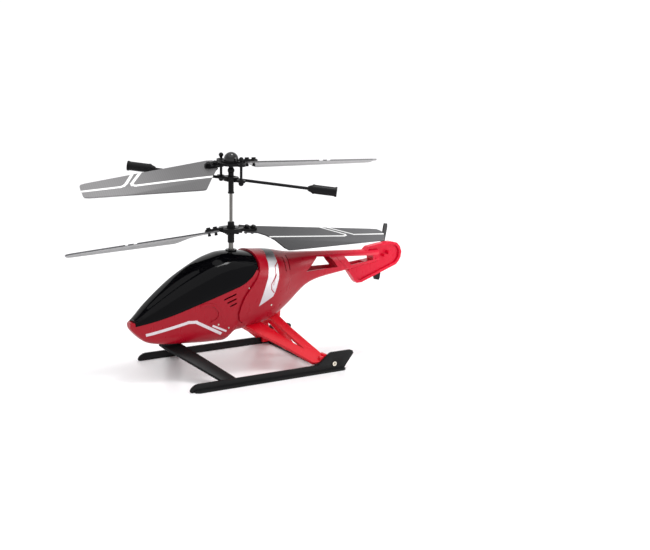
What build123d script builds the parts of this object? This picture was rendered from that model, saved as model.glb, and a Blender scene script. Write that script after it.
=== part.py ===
from build123d import *
import math
import os

# Toy helicopter with two counter-turning rotors on one mast, a flybar and a tail propeller.
# Millimetres. +X is the nose, +Y the port side, +Z up. It stands on its skids at Z = 0.

MAST_X = 13.0            # where the mast stands, measured from the part's own origin
WALL = 1.0               # moulded skin thickness
SHAFT_R = 1.05           # inner mast
TUBE_RI, TUBE_RO = 1.11, 1.55
GEAR_TEETH, PINION_TEETH, MODULE = 52, 8, 0.5
GEAR_R = GEAR_TEETH * MODULE / 2
PINION_R = PINION_TEETH * MODULE / 2
MOTOR_D = GEAR_R + PINION_R
HEAD_Z, FLY_Z, LOWER_Z = 132.0, 121.8, 90.0
BLADE_T = 0.9
UPPER_DIR, FLY_DIR, LINK_DIR, LOWER_DIR = -13.0, -37.0, -74.0, -9.0
LINK_R = 9.0
FLY_TILT, HEAD_TILT = 6.0, 5.48
TAIL_X, TAIL_Z, TAIL_R = -122.5, 62.7, 19.7

os.makedirs("parts", exist_ok=True)


# ---------------------------------------------------------------- small helpers
def box(x0, x1, y0, y1, z0, z1):
    return Pos((x0 + x1) / 2, (y0 + y1) / 2, (z0 + z1) / 2) * Box(abs(x1 - x0), abs(y1 - y0), abs(z1 - z0))


def rod(r, z0, z1, x=0.0, y=0.0):
    return Pos(x, y, (z0 + z1) / 2) * Cylinder(r, z1 - z0)


def tube(ro, ri, z0, z1, x=0.0, y=0.0):
    return rod(ro, z0, z1, x, y) - rod(ri, z0 - 1, z1 + 1, x, y)


def rod_y(r, y0, y1, x, z):
    return Pos(x, (y0 + y1) / 2, z) * Rot(90, 0, 0) * Cylinder(r, abs(y1 - y0))


def rod_x(r, x0, x1, y, z):
    return Pos((x0 + x1) / 2, y, z) * Rot(0, 90, 0) * Cylinder(r, abs(x1 - x0))


def slab_xz(pts, y0, y1):
    face = make_face(Polyline(*[(x, y1, z) for x, z in pts], close=True))
    return extrude(face, amount=abs(y1 - y0), dir=(0, -1, 0))


def slab_xy(pts, z0, z1):
    face = make_face(Polyline(*[(x, y, z0) for x, y in pts], close=True))
    return extrude(face, amount=z1 - z0, dir=(0, 0, 1))


def polar(r, deg):
    return r * math.cos(math.radians(deg)), r * math.sin(math.radians(deg))


def save(name, shape):
    placed = Pos(MAST_X, 0, 0) * shape
    placed.label = name
    export_step(placed, f"parts/{name}.step")
    box_ = placed.bounding_box()
    print(f"{name:22s} {placed.volume:9.1f} mm3  solids {len(placed.solids()):2d}  "
          f"X {box_.min.X:7.1f} {box_.max.X:7.1f}  Y {box_.min.Y:6.1f} {box_.max.Y:6.1f}  "
          f"Z {box_.min.Z:6.1f} {box_.max.Z:6.1f}")


# ---------------------------------------------------------------- the hull's outer form
# station x, underside z, top z, half width, height of the widest line, crease strength
HULL = [
    (71.1, 34.2, 37.8, 2.6, 36.2, 0.0),
    (69.3, 31.5, 38.9, 4.8, 35.9, 0.5),
    (66.6, 28.7, 41.0, 6.6, 36.6, 1.0),
    (62.0, 25.0, 45.6, 9.0, 37.9, 1.0),
    (56.0, 22.9, 51.0, 11.2, 39.5, 1.0),
    (48.0, 21.9, 57.3, 13.4, 41.9, 0.9),
    (39.0, 21.2, 63.5, 15.4, 45.0, 0.7),
    (29.0, 20.6, 69.0, 17.2, 48.5, 0.4),
    (19.0, 20.2, 73.6, 18.6, 52.0, 0.2),
    (14.0, 20.1, 75.1, 19.05, 53.6, 0.1),
    (9.5, 20.3, 76.1, 19.45, 55.2, 0.0),
    (6.5, 22.4, 76.35, 19.7, 56.3, 0.0),
    (3.5, 24.9, 76.4, 19.9, 57.3, 0.0),
    (-2.0, 26.0, 76.1, 20.0, 58.6, 0.0),
    (-8.0, 27.1, 75.4, 20.0, 59.7, 0.0),
    (-15.0, 28.1, 74.7, 19.8, 60.0, 0.0),
    (-24.0, 30.4, 74.2, 18.6, 59.0, 0.0),
    (-32.0, 34.6, 73.3, 15.8, 58.5, 0.0),
    (-40.0, 39.6, 72.0, 12.4, 59.5, 0.0),
    (-47.0, 44.9, 71.2, 9.9, 60.5, 0.0),
    (-54.0, 49.3, 70.7, 8.2, 61.5, 0.0),
    (-63.0, 52.2, 70.1, 7.0, 62.0, 0.0),
    (-74.0, 53.9, 69.4, 6.1, 62.0, 0.0),
    (-88.0, 55.6, 68.5, 5.2, 62.4, 0.0),
    (-100.0, 57.4, 67.8, 4.5, 62.9, 0.0),
    (-112.0, 59.0, 67.6, 3.9, 63.4, 0.0),
]


def hull_section(x, zb, zt, w, zm, crease):
    lo, hi = zm - zb, zt - zm
    low = [(0, zb), (0.40 * w, zb + 0.02 * lo), (0.70 * w, zb + 0.14 * lo), (0.88 * w, zb + 0.45 * lo), (w, zm)]
    cy, cz = 0.62 * w, zm + (0.80 - 0.02 * crease) * hi
    side = [(w, zm), (0.95 * w, zm + 0.30 * hi), (0.84 * w, zm + 0.56 * hi), (cy, cz)]
    top = [(cy, cz), (0.36 * w, zm + 0.945 * hi), (0, zt)]
    slope = (-1.0, 0.62 - 0.30 * crease)
    steep = (-1.0, 0.62 + 0.50 * crease)
    edges = [
        Spline(*[(x, y, z) for y, z in low], tangents=[(0, 1, 0), (0, 0.10, 1)]),
        Spline(*[(x, y, z) for y, z in side], tangents=[(0, -0.02, 1), (0, *steep)]),
        Spline(*[(x, y, z) for y, z in top], tangents=[(0, *slope), (0, -1, 0)]),
        Spline(*[(x, -y, z) for y, z in reversed(top)], tangents=[(0, -1, 0), (0, -1.0, -slope[1])]),
        Spline(*[(x, -y, z) for y, z in reversed(side)], tangents=[(0, -1.0, -steep[1]), (0, -0.02, -1)]),
        Spline(*[(x, -y, z) for y, z in reversed(low)], tangents=[(0, 0.10, -1), (0, 1, 0)]),
    ]
    return Face(Wire(edges))


def hull(inset=0.0, rows=HULL, top=0.0):
    faces = []
    for x, zb, zt, w, zm, c in rows:
        faces.append(hull_section(x, zb + inset, zt - inset + top, w - inset, zm, c))
    return loft(faces).solid()


outer = hull()
inner = hull(WALL, [row for row in HULL if 67.0 >= row[0]])

# collar: the rear shell stands proud of the cabin and fades into the boom
fade = {9.5: 1.25, 6.5: 1.25, 3.5: 1.25, -2.0: 1.25, -8.0: 1.2, -15.0: 1.0, -24.0: 0.8, -32.0: 0.4, -40.0: 0.02}
proud = hull(0.0, [(x, zb - 0.3 * fade[x], zt + 1.1 * fade[x], w + fade[x], zm, c)
                   for x, zb, zt, w, zm, c in HULL if x in fade])

# side-view outlines
canopy_line = [(70.5, 35.6), (64.8, 36.9), (61.1, 38.0), (53.4, 40.2), (45.3, 42.8), (33.8, 46.9),
               (21.1, 51.3), (12.4, 54.2), (4.1, 57.0), (0.0, 58.9), (-4.7, 62.2), (-8.6, 66.2)]
collar_front = [(-11.4, 80.0), (-11.4, 75.3), (-11.2, 70.0), (-10.2, 65.6), (-7.9, 61.5), (-5.0, 57.4),
                (-2.0, 53.4), (0.8, 49.2), (2.9, 44.0), (3.9, 38.9), (3.0, 34.8), (1.6, 33.1)]
canopy_zone = slab_xz([(68.4, 35.6)] + canopy_line[1:] + [(-10.2, 70.0), (-11.4, 75.3), (-11.4, 90), (68.4, 90)],
                      -40, 40)
rear_zone = slab_xz(collar_front + [(-2.5, 30.5), (-4.0, 20.0), (-90, 20), (-90, 80)], -40, 40)
leaf_zone = slab_xz(collar_front + [(-4.0, 36.8), (-10.0, 41.1), (-20.9, 47.7), (-39.5, 58.5), (-39.5, 80)], -40, 40)
front_zone = slab_xz([(80, 10)] + [(80, 37.6), (68.7, 37.6), (68.7, 35.6)] + [(x, z - 0.15) for x, z in canopy_line[1:]]
                     + [(x + 0.15, z) for x, z in collar_front[3:]] + [(-2.35, 30.5), (-3.85, 20.0), (-3.85, 10)],
                     -40, 40)
slant = [(-69.9, 75.5), (-69.9, 71.1), (-86.5, 55.6), (-92.0, 50.5)]
boom_zone = slab_xz([(0, 90), (-69.9, 90)] + slant[1:] + [(-92.0, 10), (0, 10)], -40, 40)
cap_zone = slab_xz([(-70.1, 90), (-70.1, 71.1), (-86.7, 55.6), (-95.0, 47.8), (-150, 47.8), (-150, 90)], -40, 40)

port = box(-200, 200, 0, 60, -10, 200)
star = box(-200, 200, -60, 0, -10, 200)

# ---------------------------------------------------------------- canopy
canopy = outer & canopy_zone
canopy = canopy - hull(WALL, [(x, zb, zt, w, zm, c) for x, zb, zt, w, zm, c in HULL if 67.0 >= x])
mast_hole = rod(2.6, 60, 90)
canopy = canopy - mast_hole
mast_boot = tube(3.6, 2.3, 74.6, 77.0)
canopy = canopy + (mast_boot - box(-60, 60, -60, 60, 60, 74.7))
save("canopy", canopy)

# ---------------------------------------------------------------- front shell, two halves
SWITCH_X, CHARGE_X = 13.0, 24.0
front = (outer & front_zone) - inner
vents = [((14.6, 49.4), (6.4, 52.4)), ((12.3, 47.0), (6.1, 49.3)), ((10.2, 44.6), (5.8, 46.4))]
for (xa, za), (xb, zb) in vents:
    h = 0.55
    front = front - slab_xz([(xa, za - h), (xa, za + h), (xb, zb + h), (xb, zb - h)], -40, 40)
# raised bead on the cabin side, a rounded hook
bead_path = [(30.0, 46.6), (25.5, 47.6), (20.6, 46.2), (17.4, 42.4), (17.3, 39.0), (19.0, 36.6), (22.0, 35.4)]
cabin_rows = [row for row in HULL if 9.0 <= row[0] <= 39.0]
thick = hull(-0.5, cabin_rows) - hull(0.4, cabin_rows)
bead = None
for (xa, za), (xb, zb) in zip(bead_path, bead_path[1:]):
    length = math.hypot(xb - xa, zb - za)
    nx, nz = -(zb - za) / length * 0.8, (xb - xa) / length * 0.8
    piece = slab_xz([(xa + nx, za + nz), (xb + nx, zb + nz), (xb - nx, zb - nz), (xa - nx, za - nz)], -40, 40)
    piece = piece + rod_y(0.8, -40, 40, xb, zb)
    bead = piece if bead is None else bead + piece
front = front + (thick & bead)
front = front - box(SWITCH_X - 3.4, SWITCH_X + 3.4, -1.3, 1.3, 15, 24)
front = front - rod(2.1, 15, 24, CHARGE_X, 0)
PIN_SPOTS = ((17.5, 33.6), (10.2, 30.6), (-2.5, 55.2), (-20.0, 42.0))
for x, z in PIN_SPOTS:
    front = front - rod_y(0.6, -40, 40, x, z)
save("front_shell_left", front & port)
save("front_shell_right", front & star)

# ---------------------------------------------------------------- rear shell: collar and boom, two halves
rear = (outer & rear_zone & boom_zone) + (proud & leaf_zone)
rear = rear - hull(WALL, [row for row in HULL if row[0] <= 19.0])
truss_front = [(-60.8, 67.4), (-71.4, 66.4), (-77.4, 58.9), (-51.2, 58.9)]
rear = rear - slab_xz(truss_front, -30, 30)
for x in (-31.5, -35.6):
    rear = rear - box(x - 0.35, x + 0.35, -30, 30, 62.4, 71.0)
rear = rear - rod_x(1.2, -90, -80, 0, 62)
for x, z in PIN_SPOTS:
    rear = rear - rod_y(0.6, -40, 40, x, z)
save("rear_shell_left", rear & port)
save("rear_shell_right", rear & star)

# ---------------------------------------------------------------- tail cap with its fin
fin_line = [(-88.2, 54.5), (-93.6, 47.0), (-95.1, 45.6), (-98.8, 45.6), (-112.0, 50.2), (-127.0, 55.4),
            (-129.2, 57.6), (-130.7, 60.1), (-131.3, 64.0), (-130.0, 67.6), (-127.4, 70.4), (-122.6, 71.6),
            (-113.0, 70.9), (-103.7, 69.7), (-101.0, 67.4), (-92.0, 66.0)]
rim_line = [(-91.3, 54.2), (-95.0, 48.6), (-96.0, 47.4), (-98.6, 47.4), (-112.0, 52.1), (-126.2, 57.0),
            (-127.8, 58.8), (-129.0, 60.9), (-129.5, 64.0), (-128.4, 66.8), (-126.6, 68.7), (-122.4, 69.8),
            (-113.0, 69.1), (-104.3, 68.0), (-101.5, 65.6), (-94.0, 64.4)]
cap_rows = [row for row in HULL if row[0] <= -63.0]
cap_box = (hull(0.0, cap_rows) & cap_zone) - hull(WALL, cap_rows[:-1])
fin = slab_xz(fin_line, -0.8, 0.8) + (slab_xz(fin_line, -2.2, 2.2) - slab_xz(rim_line, -3, 3))
fin = fin - hull(WALL, cap_rows[:-1])
cap = cap_box + fin
cap = cap - slab_xz([(-82.9, 65.4), (-106.7, 63.8), (-106.8, 60.7), (-88.6, 58.9)], -30, 30)
for x, z, r in ((-120.2, 64.4, 1.3), (-116.5, 62.6, 1.0), (-109.7, 61.8, 1.0)):
    cap = cap + rod_y(r, 0.2, 4.2, x, z)
motor_cup = rod_y(4.3, -6.6, -0.6, TAIL_X, TAIL_Z) - rod_y(3.2, -9.0, 1.4, TAIL_X, TAIL_Z)
cap = cap - rod_y(3.2, -9.0, -0.4, TAIL_X, TAIL_Z) + motor_cup
save("tail_cap", cap)

# ---------------------------------------------------------------- tail motor and propeller
tail_motor = rod_y(3.0, -7.4, -0.9, TAIL_X, TAIL_Z) - rod_y(0.56, -9, -3.0, TAIL_X, TAIL_Z)
save("tail_motor", tail_motor)
prop_shaft = rod_y(0.5, -11.0, -4.0, TAIL_X, TAIL_Z)
hub_y = -9.6
prop = rod_y(1.7, hub_y - 1.2, hub_y + 1.2, TAIL_X, TAIL_Z)
for side in (0, 180):
    pts = [(-0.9, 0.6), (-2.3, 4.0), (-2.5, 17.6), (-1.6, TAIL_R), (2.0, TAIL_R), (2.4, 18.0), (1.9, 4.0), (0.9, 0.6)]
    blade = slab_xz(pts, -0.4, 0.4)
    blade = Rot(0, 0, 24) * blade
    prop = prop + Pos(TAIL_X, hub_y, TAIL_Z) * Rot(0, -10 + side, 0) * blade
prop = prop - rod_y(0.5, -12, -4, TAIL_X, TAIL_Z)
save("tail_prop", prop)
save("tail_prop_shaft", prop_shaft)

# ---------------------------------------------------------------- landing gear
web = [(-60.6, 0), (47.4, 0), (48.3, 0.5), (48.3, 1.5), (47.6, 2.7), (46.3, 3.8), (44.6, 4.6), (42.6, 4.9),
       (-41.4, 4.9), (-49.6, 11.2),
       (-51.2, 12.1), (-65.9, 12.1), (-67.6, 11.4), (-68.3, 9.8)]
sole = [(-61.4, 39.3), (43.0, 39.3), (45.6, 39.9), (45.9, 41.0), (43.6, 42.4), (-59.5, 42.4), (-61.4, 41.0)]


def skid(sign):
    web_part = slab_xz(web, sign * 37.8, sign * 39.4) if sign > 0 else slab_xz(web, -39.4, -37.8)
    flange = slab_xy([(x, y * sign) for x, y in (sole if sign > 0 else sole[::-1])], 0.0, 1.3)
    body = web_part + flange
    body = body - rod_y(1.05, sign * 30, sign * 45, -53.7, 4.6)
    return body


save("skid_left", skid(1))
save("skid_right", skid(-1))

# front cross member: a flat chevron from the belly out and back to both skids
bar = None
for sign in (1, -1):
    ends = []
    for y, xc, zc, h in ((0.0, 44.3, 20.8, 6.2), (37.75, 21.5, 3.9, 5.0)):
        ends.append(Face(Wire(Polyline((xc - h, sign * y, zc - 0.8), (xc + h, sign * y, zc - 0.8),
                                       (xc + h, sign * y, zc + 0.8), (xc - h, sign * y, zc + 0.8),
                                       close=True).edges())))
    arm = loft(ends, ruled=True).solid()
    bar = arm if bar is None else bar + arm
bar = bar + box(38.8, 49.8, -2.4, 2.4, 19.5, 21.6)
bar = bar - outer
SCREW_XS = (41.4, 47.2)
for x in SCREW_XS:
    bar = bar - rod(0.85, 10, 30, x, 0) - rod(1.65, 10, 19.8, x, 0)
save("front_cross_bar", bar)
bar_screws = None
for x in SCREW_XS:
    s = rod(1.6, 18.75, 19.8, x, 0) + rod(0.8, 19.7, 20.9, x, 0)
    s = s - box(x - 1.2, x + 1.2, -0.2, 0.2, 18, 19.25) - box(x - 0.2, x + 0.2, -1.2, 1.2, 18, 19.25)
    bar_screws = s if bar_screws is None else bar_screws + s
save("bar_screws", bar_screws)

# rear legs: one flat A-frame each side, splayed outward
LEG_T = 2.0
leg_out = [(-3.0, -1.0), (-5.4, 2.1), (-11.4, 8.8), (-19.3, 15.9), (-26.7, 22.8), (-33.5, 30.2), (-38.6, 35.6),
           (-40.0, 36.2), (-47.0, 36.2), (-49.6, 33.5), (-47.6, 29.6), (-42.0, 19.2), (-36.3, 8.8), (-30.6, -3.9),
           (-29.0, -9.0), (-8.0, -9.0)]
leg_hole = [(-14.8, -1.0), (-20.7, 5.2), (-26.2, 12.6), (-31.2, 18.6), (-37.8, 25.2), (-34.0, 17.3), (-30.0, 9.3),
            (-27.2, 3.7), (-24.6, -1.6), (-20.0, -2.0)]


def leg(sign):
    plate = slab_xy(leg_out, -LEG_T, 0.0) - slab_xy(leg_hole, -5.0, 2.0)
    frame = Plane(origin=(0, 10, 30), x_dir=(1, 0, 0), z_dir=(0, 22, 26))
    plate = frame.location * plate
    foot = box(-57.5, -44.0, 35.6, 37.75, 1.6, 9.6) + rod_y(2.5, 31.5, 37.75, -49.0, 8.2)
    foot = foot - rod_y(0.85, 30, 45, -53.7, 4.6)
    body = (plate + foot) - box(-100, 0, 37.75, 60, -20, 60) - outer
    body = body & box(-60, 0, 5, 40, 1.0, 60)
    return body if sign > 0 else mirror(body, about=Plane.XZ)


leg_left, leg_right = leg(1), leg(-1)
save("leg_left", leg_left)
save("leg_right", leg_right)
for name, s in (("skid_pin_left", 1), ("skid_pin_right", -1)):
    pin = rod_y(0.83, s * 36.0, s * 39.4, -53.7, 4.6) + rod_y(1.5, s * 39.4, s * 40.0, -53.7, 4.6)
    pin = pin - rod_y(0.55, s * 39.0, s * 41, -53.7, 4.6)
    save(name, pin)

# belly keel between the legs
keel_line = [(-14.0, 24.0), (-20.5, 28.0), (-26.0, 27.6), (-30.3, 23.2), (-35.0, 17.7), (-37.8, 11.0), (-39.2, 6.8),
             (-41.2, 5.4), (-44.6, 4.6), (-48.2, 2.5), (-52.0, 2.5), (-52.0, 3.6), (-48.4, 6.4), (-45.2, 11.4),
             (-40.4, 18.4), (-34.6, 25.0), (-34.0, 30.4), (-34.2, 36.5), (-24.0, 36.0), (-14.0, 32.0)]
keel = slab_xz(keel_line, -1.3, 1.3)
keel_block = slab_xz([(-12.0, 23.6), (-25.0, 27.4), (-33.8, 30.6), (-34.0, 37.0), (-12.0, 33.0)], -5.0, 5.0)
keel = (keel + keel_block) - outer - leg_left - leg_right
keel = max(keel.solids(), key=lambda s: s.volume)
save("keel", keel)

# rear cross member: a low bar between the feet, with a saddle under the keel's toe
rear_bar = box(-52.2, -48.6, -35.55, 35.55, 0.2, 2.4)
rear_bar = fillet(rear_bar.edges().filter_by(Axis.Y), 0.6)
rear_bar = rear_bar + (box(-52.2, -48.6, -2.6, 2.6, 0.8, 3.6) - box(-60, -40, -1.35, 1.35, 2.4, 5))
save("rear_cross_bar", rear_bar)

# ---------------------------------------------------------------- shell pins
pins = {}
for name, s in (("shell_pins_left", 1), ("shell_pins_right", -1)):
    group = None
    for x, z in PIN_SPOTS:
        bar_ = rod_y(0.55, 8 * s, 30 * s, x, z) & (hull(-0.25) - hull(WALL + 0.6, [r for r in HULL if r[0] <= 67.0]))
        group = bar_ if group is None else group + bar_
    pins[name] = group
for name, shape in pins.items():
    save(name, shape)

# ---------------------------------------------------------------- mast drive: gears, bearings and motors
def gear(teeth, z0, z1, bore_r, phase=0.0, hub_r=None, hub_z=None):
    pitch = teeth * MODULE / 2
    tip, root = pitch + 0.9 * MODULE * 0.5, pitch - 1.15 * MODULE * 0.5
    step = 360 / teeth
    pts = []
    for i in range(teeth):
        a = phase + i * step
        for da, r in ((-0.30, root), (-0.13, tip), (0.13, tip), (0.30, root)):
            pts.append(polar(r, a + da * step))
    body = slab_xy(pts, z0, z1)
    if hub_r:
        body = body + rod(hub_r, *hub_z)
    return body - rod(bore_r, z0 - 9, z1 + 9)


low_z, up_z = (40.6, 43.0), (33.4, 35.8)
outer_shaft = tube(TUBE_RO, TUBE_RI, 40.0, 94.0)
save("outer_shaft", outer_shaft)
save("inner_shaft", rod(SHAFT_R, 28.6, 127.6))
lower_gear = gear(GEAR_TEETH, *low_z, TUBE_RO, hub_r=3.2, hub_z=(40.0, 44.4))
for i in range(5):
    lower_gear = lower_gear - rod(2.4, 38, 46, *polar(8.0, 36 + 72 * i))
save("lower_gear", lower_gear)
upper_gear = gear(GEAR_TEETH, *up_z, SHAFT_R, hub_r=3.2, hub_z=(31.6, 37.4))
for i in range(5):
    upper_gear = upper_gear - rod(2.4, 30, 39, *polar(8.0, 72 * i))
save("upper_gear", upper_gear)

for name, sx, pz in (("lower", 1, (40.4, 44.0)), ("upper", -1, (33.0, 37.0))):
    x = sx * MOTOR_D
    pin_ = gear(PINION_TEETH, pz[0], pz[1], 0.4, phase=180.0 / PINION_TEETH)
    save(f"{name}_pinion", Pos(x, 0, 0) * pin_)
    save(f"{name}_pinion_shaft", rod(0.4, pz[0] - 0.4, 50.0, x, 0))
    can = rod(4.2, 48.1, 64.0, x, 0) - rod(0.46, 40, 50.6, x, 0)
    can = can + rod(3.0, 64.0, 64.8, x, 0)
    save(f"{name}_motor", can)

# chassis: a base bearing plate, a motor plate and a top bearing plate joined by two side walls
bottom = slab_xy([(-19, -5.5), (19, -9.5), (19, 9.5), (-19, 5.5)], 29.2, 30.8)
middle = slab_xy([(-20.5, -8.5), (20.5, -8.5), (20.5, 8.5), (-20.5, 8.5)], 46.4, 48.0)
middle = middle + slab_xy([(-6, -16.0), (6, -16.0), (6, 16.0), (-6, 16.0)], 46.4, 48.0)
top_plate = slab_xy([(-8, -15.0), (8, -15.0), (8, 15.0), (-8, 15.0)], 66.6, 68.2)
chassis = bottom + middle + top_plate
for sy in (1, -1):
    chassis = chassis + box(-4.0, 4.0, sy * 14.4, sy * 15.6, 46.5, 68.0)
    for sx in (18.0, -18.0):
        chassis = chassis + box(sx - 1.2, sx + 1.2, sy * 3.4, sy * 5.0, 30.0, 47.0)
chassis = chassis - rod(2.4, 45, 70) - rod(2.0, 28, 32)
for sx in (1, -1):
    chassis = chassis - rod(1.3, 45, 49, sx * MOTOR_D, 0)
    chassis = chassis + (tube(5.3, 4.3, 47.9, 54.0, sx * MOTOR_D, 0) - box(-60, 60, -1.6, 1.6, 48.2, 60))
chassis = chassis & hull(WALL + 0.05, [row for row in HULL if row[0] <= 39.0])
chassis = max(chassis.solids(), key=lambda s: s.volume)
save("chassis", chassis)
save("top_bearing", tube(2.35, TUBE_RO + 0.05, 66.4, 68.4))
save("middle_bearing", tube(2.35, TUBE_RO + 0.05, 46.2, 48.2))
save("base_bearing", tube(1.95, SHAFT_R + 0.05, 29.0, 31.0))

# ---------------------------------------------------------------- battery, board, switch, charging socket
battery = fillet(box(27.0, 51.0, -7.2, 7.2, 26.6, 32.6).edges().filter_by(Axis.X), 1.6)
save("battery", battery)
board = box(25.0, 51.0, -8.0, 8.0, 35.2, 36.4)
board = board - rod(0.9, 34, 38, 27.2, 6.0) - rod(0.9, 34, 38, 27.2, -6.0)
for cx, cy, lx, ly, h in ((35.6, 0, 6, 5, 1.4), (42, 3.4, 3.4, 2.6, 1.0), (42, -3.6, 4, 3, 1.2), (47.5, 0.4, 2.4, 5.4, 1.6)):
    board = board + box(cx - lx / 2, cx + lx / 2, cy - ly / 2, cy + ly / 2, 36.3, 36.4 + h)
save("circuit_board", board)
receiver = box(27.6, 31.6, -2.6, 2.6, 36.5, 42.4) + rod_x(1.5, 31.5, 32.8, 0, 40.3)
save("ir_receiver", receiver)
switch_body = box(SWITCH_X - 5.0, SWITCH_X + 5.0, -2.4, 2.4, 22.6, 26.2)
switch_body = switch_body + box(SWITCH_X - 1.5, SWITCH_X + 5.0, -2.4, 2.4, 21.4, 22.8)
switch_body = switch_body - box(SWITCH_X - 3.2, SWITCH_X + 3.2, -1.0, 1.0, 20, 24.2)
save("switch_body", switch_body)
slider = box(SWITCH_X - 2.4, SWITCH_X - 0.4, -0.8, 0.8, 18.9, 24.0)
save("switch_slider", slider)
socket = tube(2.05, 1.25, 20.0, 26.2, CHARGE_X, 0) + rod(2.6, 21.7, 23.2, CHARGE_X, 0) + rod(2.05, 26.1, 27.4, CHARGE_X, 0)
socket = socket - rod(1.25, 15, 26.2, CHARGE_X, 0)
save("charge_socket", socket)


# ---------------------------------------------------------------- rotor blades
FOLD_R = 9.0             # inside radius of the bend along a blade


def blade(plan, pitch, droop, lead, fold):
    # plan: (radius, chordwise offset towards the leading edge); lead +1 turns anticlockwise from above
    # fold: where the blade bends down behind its leading panel, and by how much
    r0, c0, run, bend = fold
    reach, t = 34.0, FOLD_R * math.tan(math.radians(bend / 2))
    cb, sb = math.cos(math.radians(bend)), math.sin(math.radians(bend))
    hb = math.radians(bend / 2)
    knee = (t - FOLD_R * math.sin(hb), FOLD_R * math.cos(hb) - FOLD_R)

    def line_at(drop):
        return ((0, reach, -drop), (0, t, -drop), (0, knee[0], knee[1] - drop),
                (0, -t * cb, -t * sb - drop), (0, -reach * cb, -reach * sb - drop))

    up, low = line_at(0.0), line_at(BLADE_T)
    rim = [Line(up[0], up[1]), ThreePointArc(up[1], up[2], up[3]), Line(up[3], up[4]), Line(up[4], low[4]),
           Line(low[4], low[3]), ThreePointArc(low[3], low[2], low[1]), Line(low[1], low[0]), Line(low[0], up[0])]
    skin = extrude(Face(Wire([e.edges()[0] for e in rim])), amount=160, dir=(1, 0, 0))
    skin = Pos(r0, c0, 0) * Rot(0, 0, run) * Pos(-40, 0, 0) * skin
    shape = skin & slab_xy(plan, -12, 5)
    if lead < 0:
        shape = mirror(shape, about=Plane.XZ)
    return Rot(0, droop, 0) * Rot(lead * pitch, 0, 0) * shape


def grip(pitch, droop, lead, hole_rs):
    # the hub's arm, lying on the blade's root
    arm_ = slab_xy([(5.9, -3.4), (14.5, -2.4), (17.0, -1.2), (17.0, 1.2), (14.5, 2.4), (5.9, 3.4)], 0.05, 1.5)
    for r in hole_rs:
        arm_ = arm_ + rod(2.0, 0.05, 1.9, r, 0) - rod(0.75, -3, 5, r, 0)
    return Rot(0, droop, 0) * Rot(lead * pitch, 0, 0) * arm_


def grip_pins(pitch, droop, lead, hole_rs):
    out = None
    for r in hole_rs:
        p = rod(0.7, -2.6, 2.0, r, 0) + rod(1.35, 1.95, 2.9, r, 0) + rod(1.0, -2.7, -1.4, r, 0)
        out = p if out is None else out + p
    return Rot(0, droop, 0) * Rot(lead * pitch, 0, 0) * out


def blade_holes(shape, pitch, droop, lead, hole_rs):
    for r in hole_rs:
        shape = shape - Rot(0, droop, 0) * Rot(lead * pitch, 0, 0) * rod(0.75, -5, 5, r, 0)
    return shape


HOLES = (10.3, 14.7)
LOWER_PLAN = [(8.6, -3.4), (8.6, 2.8), (13.0, 4.2), (20.0, 5.2), (60.0, 5.3), (99.0, 5.4), (104.2, 5.0),
              (106.6, 2.6), (106.6, -1.4), (105.0, -6.4), (103.4, -8.6), (101.0, -9.6), (70.0, -16.2),
              (34.0, -23.8), (31.4, -24.0), (29.2, -21.8), (25.6, -12.6), (21.0, -6.4), (17.0, -3.6), (13.0, -3.4)]
UPPER_PLAN = [(8.6, -2.6), (8.6, 4.0), (10.5, 6.4), (14.0, 7.4), (50.0, 7.6), (91.5, 7.6), (94.3, 7.0),
              (95.0, 5.2), (95.1, 1.8), (94.9, -5.0), (94.2, -6.6), (91.5, -7.7), (60.0, -14.5), (24.4, -22.3),
              (22.4, -22.3), (21.6, -21.4), (11.0, -4.6)]
LOWER_FOLD = (22.8, -10.4, 5.6, 4.0)
UPPER_FOLD = (14.5, -12.8, 7.8, 5.0)
LOWER_SET = {"a": (17.0, 5.4, 0.0), "b": (18.0, 4.6, 180.0)}
UPPER_SET = {"a": (18.5, 9.0, 0.0), "b": (16.5, 0.6, 180.0)}


def on_mast(z, shape, turn):
    return Pos(0, 0, z) * Rot(0, 0, turn) * shape


# lower rotor, turns anticlockwise seen from above
lower_hub = tube(8.0, 4.6, LOWER_Z - 1.2, LOWER_Z + 1.0) + tube(5.2, TUBE_RO, LOWER_Z - 0.9, LOWER_Z + 1.3)
lower_hub = lower_hub + tube(2.15, TUBE_RO, 81.4, 94.6)
for side in (0, 90, 180, 270):
    lower_hub = lower_hub + on_mast(LOWER_Z, box(2.2, 7.6, -0.6, 0.6, -3.0, -0.9) - box(5.4, 9, -1, 1, -4, -2.0), side + 36)
lower_hub = lower_hub + tube(2.7, TUBE_RO, LOWER_Z + 1.2, LOWER_Z + 2.3)
pins_low = None
for key, (pitch, droop, turn) in LOWER_SET.items():
    lower_hub = lower_hub + on_mast(LOWER_Z, grip(pitch, droop, 1, HOLES), LOWER_DIR + turn)
    b = blade_holes(blade(LOWER_PLAN, pitch, droop, 1, LOWER_FOLD), pitch, droop, 1, HOLES)
    save(f"lower_blade_{key}", on_mast(LOWER_Z, b, LOWER_DIR + turn) - rod(8.3, 70, 110))
    p = on_mast(LOWER_Z, grip_pins(pitch, droop, 1, HOLES), LOWER_DIR + turn)
    pins_low = p if pins_low is None else pins_low + p
for key, (pitch, droop, turn) in LOWER_SET.items():
    for r in HOLES:
        lower_hub = lower_hub - on_mast(LOWER_Z, Rot(0, droop, 0) * Rot(pitch, 0, 0) * rod(0.75, -5, 5, r, 0),
                                        LOWER_DIR + turn)
save("lower_hub", lower_hub - rod(TUBE_RO, 70, 93.99) - rod(SHAFT_R + 0.06, 90, 99))
save("lower_blade_pins", pins_low)

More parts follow.
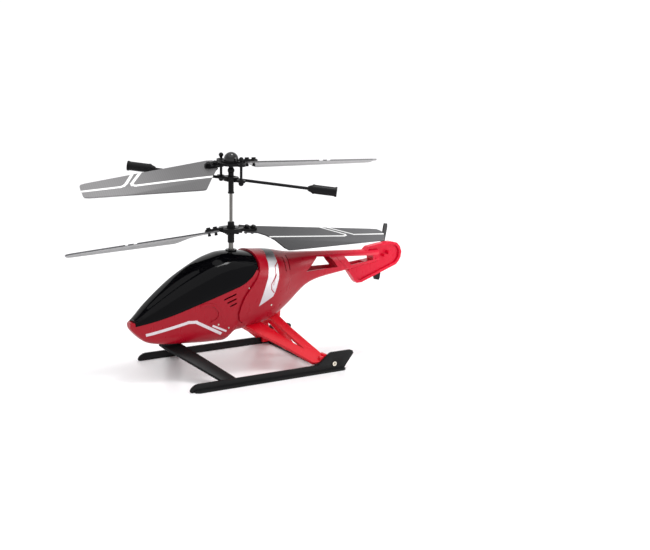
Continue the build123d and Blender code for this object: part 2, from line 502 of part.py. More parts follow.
# mast top: a sleeve with the flybar's pivot pins and the head's pivot pins
pin_fly = Pos(0, 0, FLY_Z) * Rot(0, 0, FLY_DIR + 90) * rod_x(0.8, -4.7, 4.7, 0, 0)
pin_head = Pos(0, 0, HEAD_Z) * Rot(0, 0, UPPER_DIR) * rod_x(0.8, -4.6, 4.6, 0, 0)
mast_sleeve = rod(1.75, 112.6, 127.6) + rod(1.5, 127.5, 134.2) + Pos(0, 0, 127.0) * Sphere(2.2)
mast_sleeve = mast_sleeve + rod(2.05, 112.6, 113.6) + pin_fly + pin_head
mast_sleeve = mast_sleeve - rod(SHAFT_R, 100, 127.6)
save("mast_sleeve", mast_sleeve)

# flybar: rocker ring, two rods and two eyes for the links
fly = tube(4.8, 3.0, -1.5, 1.5) - rod_y(0.86, -9, 9, 0, 0)
for s in (1, -1):
    fly = fly + rod_x(0.95, s * 4.2, s * 52.0, 0, 0)
    fly = fly + Rot(0, 0, LINK_DIR - FLY_DIR + (0 if s > 0 else 180)) * (box(4.2, 7.4, -1.0, 1.0, -0.8, 0.8)
                                                                       + tube(2.7, 1.9, -0.8, 0.8, LINK_R, 0))
fly = fly - Rot(0, 0, LINK_DIR - FLY_DIR) * rod(1.9, -5, 5, LINK_R, 0)
fly = fly - Rot(0, 0, LINK_DIR - FLY_DIR) * rod(1.9, -5, 5, -LINK_R, 0)


def tilt_fly(shape):
    return Pos(0, 0, FLY_Z) * Rot(0, 0, FLY_DIR) * Rot(0, -FLY_TILT, 0) * shape


def tilt_head(shape):
    # the head rocks about the blades' own line, starboard side up
    return Pos(0, 0, HEAD_Z) * Rot(0, 0, UPPER_DIR) * Rot(-HEAD_TILT, 0, 0) * Rot(0, 0, -UPPER_DIR) * shape


save("flybar", tilt_fly(fly))
for key, s in (("a", 1), ("b", -1)):
    weight = rod_x(2.85, s * 51.6, s * 66.1, 0, 0) + rod_x(3.15, s * 65.3, s * 66.5, 0, 0)
    weight = weight + rod_x(3.0, s * 51.4, s * 52.6, 0, 0)
    neck = Rot(0, s * 90, 0) * Pos(0, 0, 50.0) * Cone(1.5, 2.7, 3.0)
    weight = weight + neck - rod_x(0.95, s * 40, s * 52.0, 0, 0)
    save(f"flybar_weight_{key}", tilt_fly(weight))

# head: ring, two ears for the links, arms, pins and a domed cap
head = tube(6.4, 2.9, -1.2, 1.4) + tube(9.0, 6.2, -0.9, 0.6)
for s in (0, 180):
    head = head + Rot(0, 0, LINK_DIR + s) * rod(2.9, -0.9, 0.8, LINK_R, 0)
pins_up = None
for key, (pitch, droop, turn) in UPPER_SET.items():
    head = head + Rot(0, 0, UPPER_DIR + turn) * grip(pitch, droop, -1, HOLES)
    spin = Rot(0, 0, UPPER_DIR + turn)
    b = spin * blade_holes(blade(UPPER_PLAN, pitch, droop, -1, UPPER_FOLD), pitch, droop, -1, HOLES)
    save(f"upper_blade_{key}", tilt_head(b - rod(9.6, -9, 9)))
    p = spin * grip_pins(pitch, droop, -1, HOLES)
    pins_up = p if pins_up is None else pins_up + p
    for r in HOLES:
        head = head - spin * Rot(0, droop, 0) * Rot(-pitch, 0, 0) * rod(0.75, -5, 5, r, 0)
head = head - Rot(0, 0, UPPER_DIR) * rod_x(0.86, -5.2, 5.2, 0, 0) - rod(2.9, -9, 9)
for s in (0, 180):
    head = head - Rot(0, 0, LINK_DIR + s) * rod(2.0, -9, 9, LINK_R, 0)
save("upper_hub", tilt_head(head))
save("upper_blade_pins", tilt_head(pins_up))
dome = (Pos(0, 0, 2.0) * Sphere(4.6)) & box(-9, 9, -9, 9, 1.45, 9)
dome = dome - ((Pos(0, 0, 2.0) * Sphere(3.7)) + rod(3.7, 0, 2.0)) + tube(4.9, 3.7, 1.45, 2.1)
save("head_cap", tilt_head(dome))

# links: a ball at each end, one higher and one lower as the rocker leans
for key, s in (("a", 1), ("b", -1)):
    lift = s * LINK_R * math.cos(math.radians(LINK_DIR - FLY_DIR)) * math.sin(math.radians(FLY_TILT))
    x, y = polar(s * LINK_R, LINK_DIR)
    link = rod(0.85, FLY_Z - 1.4, HEAD_Z + 3.0, x, y)
    for z, r in ((FLY_Z - 1.5, 1.65), (FLY_Z, 1.6), (HEAD_Z, 1.6), (HEAD_Z + 3.3, 1.5)):
        link = link + Pos(x, y, z) * Sphere(r)
    save(f"link_{key}", Pos(0, 0, lift) * link)
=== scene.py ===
# %% [markdown]
# # A toy helicopter with two rotors on one mast
#
# The solid model already holds every plastic shell, gear, blade and pin at its real size.
# This script gives each of them its finish, prints the trim on the shells and the blades,
# rounds the edges of the skids and legs, and sets up the camera, the floor and the lights.
# +X is the nose, +Y the port side, and +Z is up. Places on the helicopter are written in
# millimetres, and MM turns them into metres. The floor and the lights are placed in metres.

import math

import bmesh
import bpy
from mathutils import Matrix, Vector


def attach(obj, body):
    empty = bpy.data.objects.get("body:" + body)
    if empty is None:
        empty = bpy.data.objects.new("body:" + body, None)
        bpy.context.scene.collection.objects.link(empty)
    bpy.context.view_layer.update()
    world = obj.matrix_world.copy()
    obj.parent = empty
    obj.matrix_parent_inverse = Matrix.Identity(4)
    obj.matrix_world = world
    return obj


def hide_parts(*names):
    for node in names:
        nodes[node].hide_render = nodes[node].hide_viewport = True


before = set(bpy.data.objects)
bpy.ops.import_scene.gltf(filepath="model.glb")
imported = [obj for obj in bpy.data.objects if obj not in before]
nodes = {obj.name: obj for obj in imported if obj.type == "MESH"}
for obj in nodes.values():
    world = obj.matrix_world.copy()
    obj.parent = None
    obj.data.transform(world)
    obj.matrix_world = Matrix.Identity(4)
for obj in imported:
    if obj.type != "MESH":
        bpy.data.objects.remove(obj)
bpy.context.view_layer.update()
MM = 0.001
MM_IN_A_METRE = 1000.0
MAST = Vector((13.0, 0.0, 0.0)) * MM

# %% [markdown]
# ## The camera
# The lens and the place of the camera decide how strongly the near skid grows and the tail
# shrinks. A long lens three quarters of a metre away gives a mild perspective. The helicopter
# stands left of the middle. The camera could be turned to put it there, but that would lean
# the mast, so the lens is shifted sideways instead.

# %% Place the camera
YAW, PITCH = math.radians(27.91), math.radians(12.19)
CAMERA_FROM_MAST = Vector((343.7, 640.7, 217.3)) * MM
LENS_MM, SENSOR_MM, SIDEWAYS_SHIFT = 64.8, 36.0, 0.154
NEAREST_SEEN = 0.01
camera_data = bpy.data.cameras.new("camera")
camera = bpy.data.objects.new("camera", camera_data)
bpy.context.collection.objects.link(camera)
toward_camera = Vector((math.sin(YAW) * math.cos(PITCH), math.cos(YAW) * math.cos(PITCH),
                        math.sin(PITCH)))
camera.location = MAST + CAMERA_FROM_MAST
camera.rotation_euler = (-toward_camera).to_track_quat("-Z", "Y").to_euler()
camera_data.sensor_width = SENSOR_MM
camera_data.lens = LENS_MM
camera_data.shift_x = SIDEWAYS_SHIFT
camera_data.clip_start = NEAREST_SEEN
bpy.context.scene.camera = camera
print("camera at", tuple(round(v, 3) for v in camera.location))

# %% [markdown]
# ## Shader arithmetic
# A finish is a graph of nodes, and most of the graph is arithmetic: a mask times a colour
# difference plus a base value. The nodes could be placed and linked one by one. Wrapping a
# socket in a small class lets the same graph be written as an ordinary expression, and each
# operator adds its own Math node.

# %% A socket that does arithmetic
class Signal:
    """A node's output that can stand in a Python expression."""

    def __init__(self, graph, socket):
        self.graph, self.socket = graph, socket

    def math(self, operation, *others):
        return self.graph.node("ShaderNodeMath", {"operation": operation},
                               dict(enumerate((self,) + others)))

    def __add__(self, other):
        return self.math("ADD", other)

    __radd__ = __add__

    def __sub__(self, other):
        return self.math("SUBTRACT", other)

    def __rsub__(self, other):
        return (self * -1.0) + other

    def __mul__(self, other):
        return self.math("MULTIPLY", other)

    __rmul__ = __mul__

    def __abs__(self):
        return self.math("ABSOLUTE")

    def least(self, other):
        return self.math("MINIMUM", other)

    def most(self, other):
        return self.math("MAXIMUM", other)

    def inside(self, limit, soft):
        """1 where the value is under limit, fading to 0 over the width soft."""
        return self.graph.node("ShaderNodeMapRange", {"interpolation_type": "SMOOTHSTEP"},
                               {"Value": self, "From Min": limit - soft / 2,
                                "From Max": limit + soft / 2, "To Min": 1.0, "To Max": 0.0})


print("signals can be added, subtracted, multiplied and compared")

# %% [markdown]
# ## One method that makes nodes
# Every node is made in one place, from its type, its settings and what goes into its sockets.
# A Mix node keeps sockets for numbers, vectors and colours side by side, and the ones for
# colours can only be told apart by their number, so those numbers get names here. Patterns
# are measured in Object coordinates, so they keep their real size on every piece.

# %% Graphs and finishes
MIX_FACTOR, MIX_FIRST_COLOUR, MIX_SECOND_COLOUR, MIX_RESULT = 0, 6, 7, 2


class Graph:
    """A node tree that nodes are added to."""

    def __init__(self, tree):
        self.tree = tree

    def node(self, kind, settings=None, sockets=None, output=0):
        made = self.tree.nodes.new(kind)
        for key, value in (settings or {}).items():
            setattr(made, key, value)
        for key, value in (sockets or {}).items():
            self.link(made.inputs[key], value)
        return Signal(self, made.outputs[output])

    def link(self, socket, value):
        if isinstance(value, Signal):
            self.tree.links.new(value.socket, socket)
        else:
            socket.default_value = value


class Finish(Graph):
    """One material: a Principled shader whose changing values come from small node graphs."""

    def __init__(self, name, **constants):
        self.material = bpy.data.materials.new(name)
        self.material.use_nodes = True
        super().__init__(self.material.node_tree)
        self.shader = self.tree.nodes["Principled BSDF"]
        for key, value in constants.items():
            self.feed(key.replace("_", " ").title().replace("Ior", "IOR"), value)
        self.place = self.node("ShaderNodeTexCoord", output="Object")

    def feed(self, name, value):
        self.link(self.shader.inputs[name], value)

    def noise(self, per_metre, detail=2.0, stretch=None):
        where = self.place
        if stretch:
            where = self.node("ShaderNodeVectorMath", {"operation": "MULTIPLY"},
                              {0: self.place, 1: stretch})
        return self.node("ShaderNodeTexNoise", {},
                         {"Vector": where, "Scale": per_metre, "Detail": detail})

    def along(self, direction, origin=(0, 0, 0)):
        """Distance in millimetres from origin, measured along a direction."""
        shifted = self.node("ShaderNodeVectorMath", {"operation": "SUBTRACT"},
                            {0: self.place, 1: tuple(origin)})
        metres = self.node("ShaderNodeVectorMath", {"operation": "DOT_PRODUCT"},
                           {0: shifted, 1: tuple(direction)}, output="Value")
        return metres * MM_IN_A_METRE

    def mix(self, mask, first, second):
        return self.node("ShaderNodeMix", {"data_type": "RGBA"},
                         {MIX_FACTOR: mask, MIX_FIRST_COLOUR: first, MIX_SECOND_COLOUR: second},
                         output=MIX_RESULT)

    def bump(self, height, depth_mm, below=None):
        sockets = {"Height": height, "Distance": depth_mm * MM, "Strength": 1.0}
        if below is not None:
            sockets["Normal"] = below
        return self.node("ShaderNodeBump", {}, sockets)


def rgb(red, green, blue):
    return (red, green, blue, 1.0)


def dim(colour, factor):
    return tuple(min(1.0, c * factor) for c in colour[:3]) + (1.0,)


print("shader helpers ready")

# %% [markdown]
# ## Moulded plastic
# Injection-moulded plastic is never one flat colour. It flows, so the pigment drifts a
# little over centimetres, the tool leaves a very fine grain, and the gloss changes where
# the part has been handled. A single colour would look like a drawing. Three noises at three
# scales give the drift, the wear and the grain, and the same recipe serves every part.

# %% A recipe for moulded plastic
CLOUDS_PER_METRE, WIPES_PER_METRE, GRAINS_PER_METRE = 42.0, 260.0, 5200.0
WIPE_STRETCH = (1.0, 1.0, 0.35)
FINE_DETAIL = 3.0


def moulded(name, colour, rough, drift=0.08, grain_mm=0.004, spread=0.06, sheen_level=0.35):
    """Plastic whose colour varies by drift and whose roughness varies by spread."""
    finish = Finish(name, specular_ior_level=sheen_level)
    cloud = finish.noise(CLOUDS_PER_METRE)
    wipe = finish.noise(WIPES_PER_METRE, FINE_DETAIL, stretch=WIPE_STRETCH)
    grain = finish.noise(GRAINS_PER_METRE)
    finish.paint = finish.mix(cloud, dim(colour, 1 - drift), dim(colour, 1 + drift))
    finish.rough = wipe * (2 * spread) + (rough - spread)
    finish.feed("Base Color", finish.paint)
    finish.feed("Roughness", finish.rough)
    finish.feed("Normal", finish.bump(grain, grain_mm))
    return finish


def put_on(finish, *names):
    """Assigns a finish to solid-model nodes."""
    for each in names:
        slots = nodes[each].material_slots
        for holder in slots:
            holder.material = finish.material
        if not slots:
            nodes[each].data.materials.append(finish.material)


def wear(name, colour, rough, *names, **more):
    """Makes a moulded finish and puts it on solid-model nodes."""
    finish = moulded(name, colour, rough, **more)
    put_on(finish, *names)
    return finish


print("moulded plastic ready")

# %% [markdown]
# ## One plastic for each job
# The legs are a bright clear red, brighter than the shell. The canopy is the glossiest part,
# with hardly any grain. The skids are satin, the hubs and links a plain black nylon, and
# the chassis is matt. The two finishes that are named here are worn again by the rounded
# parts further down.

# %% Plastic on every plain part
leg_red = wear("bright red legs", rgb(0.58, 0.0015, 0.012), 0.26,
               "leg_left", "leg_right", "keel", spread=0.05)
skid_black = wear("satin black skid", rgb(0.0065, 0.0065, 0.007), 0.40,
                  "skid_left", "skid_right", "front_cross_bar", "rear_cross_bar",
                  sheen_level=0.16)
wear("black canopy", rgb(0.0010, 0.0010, 0.0015), 0.07, "canopy",
     grain_mm=0.0004, spread=0.02, sheen_level=0.09)
wear("nylon black", rgb(0.0045, 0.0045, 0.005), 0.30,
     "upper_hub", "lower_hub", "mast_sleeve", "flybar", "link_a", "link_b",
     "upper_blade_pins", "lower_blade_pins", sheen_level=0.12)
wear("polished cap black", rgb(0.003, 0.003, 0.0035), 0.16, "head_cap", sheen_level=0.45)
wear("weight black", rgb(0.004, 0.004, 0.0045), 0.34,
     "flybar_weight_a", "flybar_weight_b", sheen_level=0.14)
wear("tail propeller black", rgb(0.005, 0.005, 0.006), 0.30, "tail_prop", sheen_level=0.3)
wear("matt chassis black", rgb(0.012, 0.012, 0.013), 0.55,
     "chassis", "switch_body", grain_mm=0.008)
wear("socket black", rgb(0.010, 0.010, 0.011), 0.45, "switch_slider", "charge_socket")
wear("receiver lens", rgb(0.008, 0.002, 0.005), 0.08, "ir_receiver",
     drift=0.2, sheen_level=0.5)
wear("natural acetal", rgb(0.72, 0.72, 0.68), 0.38, "upper_gear", "lower_gear")
wear("circuit board", rgb(0.01, 0.09, 0.03), 0.30, "circuit_board")
print("plain plastics done")

# %% [markdown]
# ## Trim drawn in the side view
# The silver stripes on the hull are pad printed, so they are a change of colour and gloss on
# a smooth surface, not a shape. They could be a picture wrapped round the shell, but that
# would stretch and blur. Seen from the side each stripe is a few straight strokes of constant
# width. The distance from a stroke needs two numbers: how far along it and how far across it
# a point lies. Both are dot products with fixed directions, so the same little formula draws
# every stroke, and it draws the port and starboard sides at once.

# %% Strokes and edges as masks
SOFT_MM = 0.16


def stroke(finish, start, end, width, axes, origin):
    """1 inside a straight stroke between two points given on a pair of axes."""
    dx, dy = end[0] - start[0], end[1] - start[1]
    length = math.hypot(dx, dy)
    along_it = (axes[0] * dx + axes[1] * dy) / length
    across_it = (axes[1] * dx - axes[0] * dy) / length
    begin = Vector(origin) + (axes[0] * start[0] + axes[1] * start[1]) * MM
    past_end = abs(finish.along(along_it, begin) - length / 2) - length / 2
    beside = abs(finish.along(across_it, begin))
    return past_end.most(beside).inside(width / 2, SOFT_MM)


def most_of(masks):
    """The largest of several masks, at every point."""
    first, *others = masks
    for other in others:
        first = first.most(other)
    return first


def strokes(finish, points, width, axes, origin):
    """A line of strokes through the points."""
    return most_of([stroke(finish, start, end, width, axes, origin)
                    for start, end in zip(points, points[1:])])


def edge_line(finish, height, points):
    """A value that follows (value, height) points as the height rises."""
    points = sorted(points, key=lambda point: point[1])
    total = None
    for (low_value, low), (high_value, high) in zip(points, points[1:]):
        step = finish.node("ShaderNodeMapRange", {},
                           {"Value": height, "From Min": low, "From Max": high,
                            "To Min": 0.0, "To Max": high_value - low_value})
        total = step + points[0][0] if total is None else total + step
    return total


print("strokes fade over", SOFT_MM, "mm")

# %% [markdown]
# ## Where the trim runs
# The band behind the canopy leans back as it rises, so its front and rear edges are lists
# of points in the side view, as (forward of the mast, height) in millimetres. A zigzag and a
# shorter twin are left unprinted inside the band. Each side of the nose has a long stripe
# that rises and then drops towards the belly, and a short one above its rear end.

# %% The band, the zigzags and the stripes
SIDE_VIEW = (Vector((1, 0, 0)), Vector((0, 0, 1)))
BAND_FRONT = [(-24.5, 78.0), (-22.5, 76.0), (-20.2, 74.6), (-18.2, 72.0), (-17.7, 69.7),
              (-16.0, 63.1), (-13.2, 53.1), (-10.0, 42.6)]
BAND_REAR = [(-31.5, 78.0), (-30.0, 75.6), (-27.6, 74.4), (-25.7, 72.4), (-25.2, 69.8),
             (-24.1, 59.1), (-22.0, 51.5), (-20.2, 48.0), (-18.2, 42.6)]
BAND_FOOT = ((-10.0, 42.6), (-20.2, 48.0))
ZIGZAG = [(-25.4, 69.2), (-22.3, 67.0), (-21.4, 61.5), (-18.4, 56.4), (-18.6, 52.9),
          (-20.7, 50.4)]
ZIGZAG_TWIN = [(-22.6, 62.6), (-20.1, 58.2), (-20.1, 55.6)]
NOSE_STRIPE = [(61.9, 30.4), (37.2, 36.9), (32.5, 36.7), (15.4, 27.4)]
SHORT_STRIPE = [(20.8, 32.9), (11.9, 28.6)]
ZIGZAG_WIDTH, ZIGZAG_TWIN_WIDTH = 0.62, 0.5
NOSE_STRIPE_WIDTH, SHORT_STRIPE_WIDTH = 1.9, 1.3
print("trim has", len(BAND_FRONT) + len(BAND_REAR), "band points")

# %% [markdown]
# ## The red shell and its printed trim
# One finish covers the front shells, the rear shells and the tail cap, because on the real
# toy they come from one colour of plastic. Silver ink replaces the red where a mask says so.
# The masks come first: the band is what lies behind its front edge, ahead of its rear edge
# and above its foot, less the zigzags.

# %% Masks on the crimson shell
shell = moulded("crimson shell", rgb(0.31, 0.0013, 0.011), 0.28, grain_mm=0.002, spread=0.025,
                sheen_level=0.24)
across = shell.along((1, 0, 0), MAST)
height = shell.along((0, 0, 1))
behind_front = edge_line(shell, height, BAND_FRONT) - across
ahead_of_rear = across - edge_line(shell, height, BAND_REAR)
foot_x = BAND_FOOT[1][0] - BAND_FOOT[0][0]
foot_z = BAND_FOOT[1][1] - BAND_FOOT[0][1]
foot_up = Vector((foot_z, 0, -foot_x)).normalized()
foot_start = MAST + Vector((BAND_FOOT[0][0], 0, BAND_FOOT[0][1])) * MM
above_foot = shell.along(foot_up, foot_start)
band = (behind_front.least(ahead_of_rear).least(above_foot) * -1.0).inside(0.0, SOFT_MM)
zigzags = strokes(shell, ZIGZAG, ZIGZAG_WIDTH, SIDE_VIEW, MAST).most(
    strokes(shell, ZIGZAG_TWIN, ZIGZAG_TWIN_WIDTH, SIDE_VIEW, MAST))
band = band * (1.0 - zigzags)
stripe = strokes(shell, NOSE_STRIPE, NOSE_STRIPE_WIDTH, SIDE_VIEW, MAST).most(
    strokes(shell, SHORT_STRIPE, SHORT_STRIPE_WIDTH, SIDE_VIEW, MAST))
trim = band.most(stripe)
print("band from", BAND_FOOT[0][1], "mm up, stripes", NOSE_STRIPE_WIDTH, SHORT_STRIPE_WIDTH, "mm")

# %% [markdown]
# ## Ink and red
# The ink has a fine streak of its own, and a bump makes it look a hair thicker than the
# plastic. Its colour holds painted shade where the band crosses the ridge of the back, a
# painted highlight on the flank, and softer painted shade towards the foot.
# The red is painted lighter from the body to the tail, as painted light on the tail.
# Each of these is a fade between two colours, and a fade is a middle and a width in
# millimetres.

# %% Crimson shell with silver trim
RIDGE_SHADE_FADE, FOOT_SHADE_FADE, PAINTED_TAIL_LIGHT_FADE = (71.5, 5.0), (54.0, 14.0), (-75.0, 90.0)
INK_ROUGH, INK_METAL, INK_MM = 0.26, 0.30, 0.02
SHELL_GRAIN_MM = 0.003
# Painted shade: the dark ink where the band crosses the ridge of the back.
RIDGE_SHADE_INK = rgb(0.035, 0.032, 0.035)
STREAKS_PER_METRE, STREAK_STRETCH, TAIL_CLOUDS_PER_METRE = 1500.0, (1.0, 1.0, 0.08), 30.0
ink_streak = shell.noise(STREAKS_PER_METRE, FINE_DETAIL, stretch=STREAK_STRETCH)
# Painted light: a painted highlight on the flank, fading to painted shade towards the foot.
highlight_ink = shell.mix(ink_streak, rgb(0.62, 0.60, 0.62), rgb(0.74, 0.72, 0.74))
foot_shaded_ink = shell.mix(ink_streak, rgb(0.46, 0.43, 0.45), rgb(0.56, 0.52, 0.55))
stripe_ink = shell.mix(ink_streak, rgb(0.56, 0.50, 0.53), rgb(0.70, 0.64, 0.67))
lit_flank_ink = shell.mix(height.inside(*FOOT_SHADE_FADE), highlight_ink, foot_shaded_ink)
shaded_band_ink = shell.mix(height.inside(*RIDGE_SHADE_FADE), RIDGE_SHADE_INK, lit_flank_ink)
# Painted light: the red is painted lighter towards the tail.
painted_tail_light_red = shell.mix(shell.noise(TAIL_CLOUDS_PER_METRE), rgb(0.66, 0.004, 0.030),
                     rgb(0.72, 0.005, 0.036))
red = shell.mix(across.inside(*PAINTED_TAIL_LIGHT_FADE), shell.paint, painted_tail_light_red)
printed = shell.mix(stripe, shell.mix(band, red, shaded_band_ink), stripe_ink)
grain = shell.bump(shell.noise(GRAINS_PER_METRE), SHELL_GRAIN_MM)
shell.feed("Base Color", printed)
shell.feed("Metallic", band * INK_METAL)
shell.feed("Roughness", shell.rough * (1.0 - trim) + trim * INK_ROUGH)
shell.feed("Normal", shell.bump(trim, INK_MM, below=grain))
SHELLS = ["front_shell_left", "front_shell_right", "rear_shell_left", "rear_shell_right",
          "tail_cap"]
put_on(shell, *SHELLS)
print("crimson shell on", len(SHELLS), "nodes, with band and two stripes")

# %% [markdown]
# ## Metal
# A ground mast has fine turning marks round its axis, so its grain is squeezed along Z.
# The plated pins, the motor cans and the bearings could each have a shader of their own.
# They share this recipe with other colours, because only the colour and the marks differ.

# %% A recipe for turned and plated metal
MARKS_PER_METRE, SMEARS_PER_METRE, SMEAR_SPREAD = 900.0, 160.0, 0.08
ROUND_THE_AXIS, EVEN, ROLLED = (1.0, 1.0, 24.0), (1.0, 1.0, 1.0), (1.0, 3.0, 1.0)


def metal(name, colour, rough, *names, stretch=ROUND_THE_AXIS, marks_mm=0.0015):
    finish = Finish(name, metallic=1.0)
    marks = finish.noise(MARKS_PER_METRE, FINE_DETAIL, stretch=stretch)
    smear = finish.noise(SMEARS_PER_METRE)
    finish.feed("Base Color", finish.mix(smear, dim(colour, 0.80), dim(colour, 1.10)))
    finish.feed("Roughness", smear * (2 * SMEAR_SPREAD) + (rough - SMEAR_SPREAD))
    finish.feed("Normal", finish.bump(marks, marks_mm))
    put_on(finish, *names)


metal("ground steel", rgb(0.17, 0.165, 0.155), 0.34, "inner_shaft", "outer_shaft",
      "tail_prop_shaft", "upper_pinion_shaft", "lower_pinion_shaft")
metal("plated screws", rgb(0.62, 0.58, 0.50), 0.22, "bar_screws", "skid_pin_left",
      "skid_pin_right", "shell_pins_left", "shell_pins_right", stretch=EVEN)
metal("turned brass", rgb(0.66, 0.46, 0.17), 0.30, "top_bearing", "middle_bearing",
      "base_bearing", "upper_pinion", "lower_pinion")
metal("motor can", rgb(0.55, 0.55, 0.55), 0.34, "upper_motor", "lower_motor", "tail_motor")
metal("foil pouch", rgb(0.66, 0.67, 0.70), 0.40, "battery", stretch=ROLLED, marks_mm=0.03)
print("metals done")

# %% [markdown]
# ## The blades
# The blades are thin folded plates of metallic grey plastic with a fine woven print. Their grey
# holds painted shade at the root and behind the fold, and a painted highlight towards the tip.
# Two pale trim lines run over each blade, and each turns through an elbow towards the other
# edge. The trim follows the blade, so radius and chord are measured along that blade's own two
# directions, found by turning the axes exactly as the blade itself is turned. Each blade
# therefore gets its own copy of the finish. A limit along the blade's own upward direction
# keeps the trim to the top.

# %% The two rotors and their trim lines
UPPER_TRIM = ([(14.0, -11.8), (39.0, -8.2), (62.2, -5.4), (64.0, -4.2), (64.0, -2.4),
               (56.2, 8.2)],
              [(61.0, 8.6), (67.2, -1.2), (69.2, -3.2), (71.5, -3.8), (96.0, -0.5)])
LOWER_TRIM = ([(22.4, -9.6), (76.0, -5.9), (77.6, -5.0), (77.6, -3.6), (63.4, 5.4)],
              [(107.5, -1.6), (84.0, -3.6), (82.1, -2.4), (69.0, 5.2)])
UPPER_ROTOR = {"hub_height": 132.0, "way": -13.0, "lean": 5.48, "lead": -1,
               "trim": UPPER_TRIM, "trim_width": 1.9, "grey": rgb(0.150, 0.147, 0.150)}
LOWER_ROTOR = {"hub_height": 90.0, "way": -9.0, "lean": 0.0, "lead": 1,
               "trim": LOWER_TRIM, "trim_width": 1.3, "grey": rgb(0.066, 0.066, 0.070)}
print("trim lines for each blade:", len(UPPER_TRIM), "and", len(LOWER_TRIM))

# %% A finish for one blade
WEAVE_PER_MM, TRIM_CLOUDS_PER_METRE = 2.4, 60.0
TOP_FADE, ROOT_SHADE_FADE, FOLD_SHADE_FADE = (0.6, 0.1), (55.0, 60.0), (-13.0, 2.0)
TIP_HIGHLIGHT_TONES, ROOT_SHADE_TONES, FOLD_SHADE_TONES = (1.30, 1.60), (0.66, 0.86), (0.50, 0.64)
FOLD_SHADE_STRENGTH = 0.6
BLADE_METAL, TRIM_ROUGHER, TRIM_MM, WEAVE_MM = 0.35, 0.08, 0.02, 0.004


def turn(angle, axis):
    return Matrix.Rotation(math.radians(angle), 3, axis)


def blade_finish(node, rotor, half_turn, droop, pitch):
    """Weave, trim, painted shade and painted highlight that follow one blade, turned by angles in
    degrees.
    """
    colour, lead = rotor["grey"], rotor["lead"]
    finish = moulded("blade print and painted shade " + node, colour, 0.34, drift=0.10, spread=0.05,
                     sheen_level=0.45)
    rock = turn(rotor["way"], "Z") @ turn(-rotor["lean"], "X") @ turn(-rotor["way"], "Z")
    set_on_hub = turn(droop, "Y") @ turn(lead * pitch, "X")
    turned = (rock @ turn(rotor["way"] + half_turn, "Z") @ set_on_hub).col
    radial, chord, upward = Vector(turned[0]), Vector(turned[1] * lead), Vector(turned[2])
    hub = MAST + Vector((0, 0, rotor["hub_height"])) * MM
    on_top = (finish.along(upward, hub) * -1.0).inside(*TOP_FADE)
    mask = most_of([strokes(finish, points, rotor["trim_width"], (radial, chord), hub)
                    for points in rotor["trim"]]) * on_top
    radius_mm, chord_mm = finish.along(radial, hub), finish.along(chord, hub)
    outward, sideways = radius_mm * WEAVE_PER_MM, chord_mm * WEAVE_PER_MM
    weave = (outward + sideways).math("SINE") * (outward - sideways).math("SINE")
    cloth = weave * 0.5 + 0.5
    # Painted light: the grey is painted darker at the root and behind the fold, and lighter
    # towards the tip.
    outer, root, rear = [finish.mix(cloth, dim(colour, dark), dim(colour, light))
                         for dark, light in (TIP_HIGHLIGHT_TONES, ROOT_SHADE_TONES, FOLD_SHADE_TONES)]
    grey = finish.mix(radius_mm.inside(*ROOT_SHADE_FADE), outer, root)
    grey = finish.mix(chord_mm.inside(*FOLD_SHADE_FADE) * FOLD_SHADE_STRENGTH, grey, rear)
    pale = finish.mix(finish.noise(TRIM_CLOUDS_PER_METRE), rgb(0.80, 0.80, 0.80),
                      rgb(0.90, 0.90, 0.90))
    finish.feed("Base Color", finish.mix(mask, grey, pale))
    finish.feed("Metallic", (1.0 - mask) * BLADE_METAL)
    finish.feed("Roughness", finish.rough + mask * TRIM_ROUGHER)
    finish.feed("Normal", finish.bump(mask, TRIM_MM, below=finish.bump(cloth, WEAVE_MM)))
    put_on(finish, node)


BLADES = (("upper_blade_a", UPPER_ROTOR, 0, 9.0, 18.5),
          ("upper_blade_b", UPPER_ROTOR, 180, 0.6, 16.5),
          ("lower_blade_a", LOWER_ROTOR, 0, 5.4, 17.0),
          ("lower_blade_b", LOWER_ROTOR, 180, 4.6, 18.0))
for node, rotor, half_turn, droop, pitch in BLADES:
    blade_finish(node, rotor, half_turn, droop, pitch)
print(len(BLADES), "blades with their trim")

# %% [markdown]
# ## Rounded edges
# A moulded part has no knife edges: the tool leaves a radius of a few tenths of a
# millimetre, and those radii are what catch the light along a skid or a strut. A bevelled
# look could be faked in the shader, but the outline would stay square. The solid model's
# corners are square, so each of these parts is copied, its loose triangles are welded and
# merged into flat faces, and the sharp edges are bevelled. The copy stands in for the square
# one, and keeps to its outline.

# %% A rounded copy of a solid-model node
WELD = 0.00001
SKID_ROUND_MM, BAR_ROUND_MM, LEG_ROUND_MM, KEEL_ROUND_MM = 0.30, 0.22, 0.45, 0.3
FLAT, SHARP, SMOOTH_UNDER = math.radians(1.0), math.radians(32.0), math.radians(28.0)


def rounded(node, body, finish, radius_mm, segments=2):
    work = bmesh.new()
    work.from_mesh(nodes[node].data)
    bmesh.ops.remove_doubles(work, verts=work.verts, dist=WELD)
    bmesh.ops.dissolve_limit(work, angle_limit=FLAT, verts=work.verts, edges=work.edges)
    edges = [edge for edge in work.edges if len(edge.link_faces) == 2
             and edge.calc_face_angle(0.0) > SHARP]
    bmesh.ops.bevel(work, geom=edges, affect="EDGES", offset=radius_mm * MM,
                    offset_type="OFFSET", segments=segments, profile=0.5,
                    clamp_overlap=True, material=-1)
    bmesh.ops.triangulate(work, faces=work.faces)
    mesh = bpy.data.meshes.new(node + "_rounded")
    work.to_mesh(mesh)
    work.free()
    piece = bpy.data.objects.new(node + "_rounded", mesh)
    bpy.context.collection.objects.link(piece)
    mesh.materials.append(finish.material)
    mesh.polygons.foreach_set("use_smooth", [True] * len(mesh.polygons))
    mesh.set_sharp_from_angle(angle=SMOOTH_UNDER)
    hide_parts(node)
    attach(piece, body)
    print(node, "rounded:", len(edges), "edges,", len(mesh.polygons), "faces")


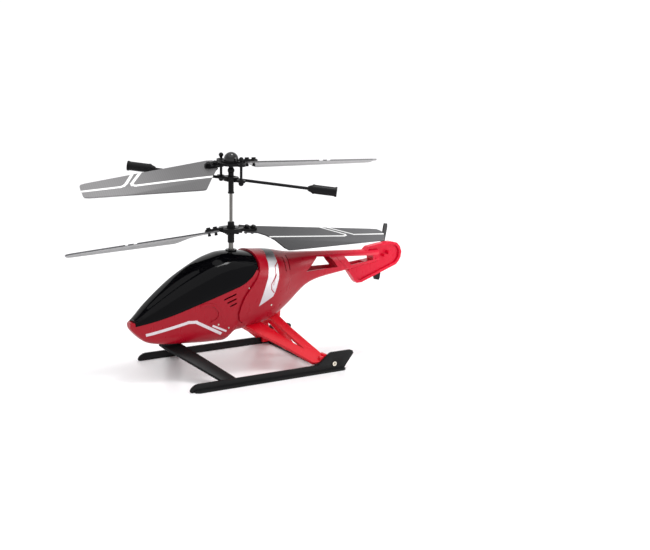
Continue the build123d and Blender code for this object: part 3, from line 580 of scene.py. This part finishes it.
for node in ("skid_left", "skid_right"):
    rounded(node, "airframe", skid_black, SKID_ROUND_MM)
for node in ("front_cross_bar", "rear_cross_bar"):
    rounded(node, "airframe", skid_black, BAR_ROUND_MM)
for node in ("leg_left", "leg_right"):
    rounded(node, "airframe", leg_red, LEG_ROUND_MM, segments=3)
rounded("keel", "airframe", leg_red, KEEL_ROUND_MM)

# %% [markdown]
# ## Floor and surround
# The helicopter stands on a plain pale floor, large enough to have no edge in view. Behind
# it is a pale surround, a touch brighter near the horizon than overhead, so that the floor
# and the background run together. A studio could be modelled with walls, but a surround
# gives even light from all sides with nothing to build.

# %% A pale floor and surround
FLOOR_SIZE, FLOOR_CLOUDS_PER_METRE = 60.0, 3.0
HORIZON_GLOW, OVERHEAD_GLOW = 1.04, 0.98
GLOW_STARTS, GLOW_ENDS = 0.05, 0.22
bpy.ops.mesh.primitive_plane_add(size=FLOOR_SIZE, location=(0, 0, 0))
floor = bpy.context.object
floor.name = "floor"
floor_finish = Finish("pale floor", roughness=0.30, specular_ior_level=0.25)
floor_tone = floor_finish.mix(floor_finish.noise(FLOOR_CLOUDS_PER_METRE),
                              rgb(0.80, 0.79, 0.81), rgb(0.96, 0.96, 0.965))
floor_finish.feed("Base Color", floor_tone)
floor.data.materials.append(floor_finish.material)

world = bpy.data.worlds.new("pale surround")
bpy.context.scene.world = world
world.use_nodes = True
surround = Graph(world.node_tree)
background = world.node_tree.nodes["Background"]
background.inputs["Color"].default_value = rgb(1.0, 1.0, 1.0)
way_out = surround.node("ShaderNodeTexCoord", output="Generated")
upward = surround.node("ShaderNodeSeparateXYZ", {}, {"Vector": way_out}, output="Z")
glow = surround.node("ShaderNodeMapRange", {},
                     {"Value": upward, "From Min": GLOW_STARTS, "From Max": GLOW_ENDS,
                      "To Min": HORIZON_GLOW, "To Max": OVERHEAD_GLOW})
surround.link(background.inputs["Strength"], glow)
print("floor", FLOOR_SIZE, "m, surround", HORIZON_GLOW, "to", OVERHEAD_GLOW)

# %% [markdown]
# ## Lights
# A very wide sun overhead gives the soft shadow under the skids. A small light high above
# draws the reflection along the canopy, and one from behind the port side brightens the
# tail. Area lights alone could do all of it, but they fall off with distance, and a sun
# lights the floor evenly.

# %% Soft lights
SUN_POWER, SUN_WIDTH = 0.85, math.radians(80.0)
SUN_TILT = (math.radians(-12.0), math.radians(8.0), 0.0)
AREA_LIGHTS = (("canopy light", (-0.10, 0.10, 0.95), (0.0, 0, 0.07), (0.20, 0.15), 2.4),
               ("tail light", (-1.0, 0.9, 0.45), (-0.08, 0, 0.06), (0.7, 0.5), 4.5))


def soft_light(name, place, target, size, power):
    """A rectangular light at a place, aimed at a target."""
    data = bpy.data.lights.new(name, "AREA")
    data.shape, data.size, data.size_y, data.energy = "RECTANGLE", size[0], size[1], power
    light = bpy.data.objects.new(name, data)
    bpy.context.collection.objects.link(light)
    light.location = place
    aim = Vector(target) - Vector(place)
    light.rotation_euler = aim.to_track_quat("-Z", "Y").to_euler()


sun_data = bpy.data.lights.new("overhead diffuse light", "SUN")
sun_data.energy, sun_data.angle = SUN_POWER, SUN_WIDTH
sun = bpy.data.objects.new("overhead diffuse light", sun_data)
sun.rotation_euler = SUN_TILT
bpy.context.collection.objects.link(sun)
for name, place, target, size, power in AREA_LIGHTS:
    soft_light(name, place, target, size, power)
bpy.context.scene.view_settings.view_transform = "Standard"
print("one sun and", len(AREA_LIGHTS), "area lights placed")
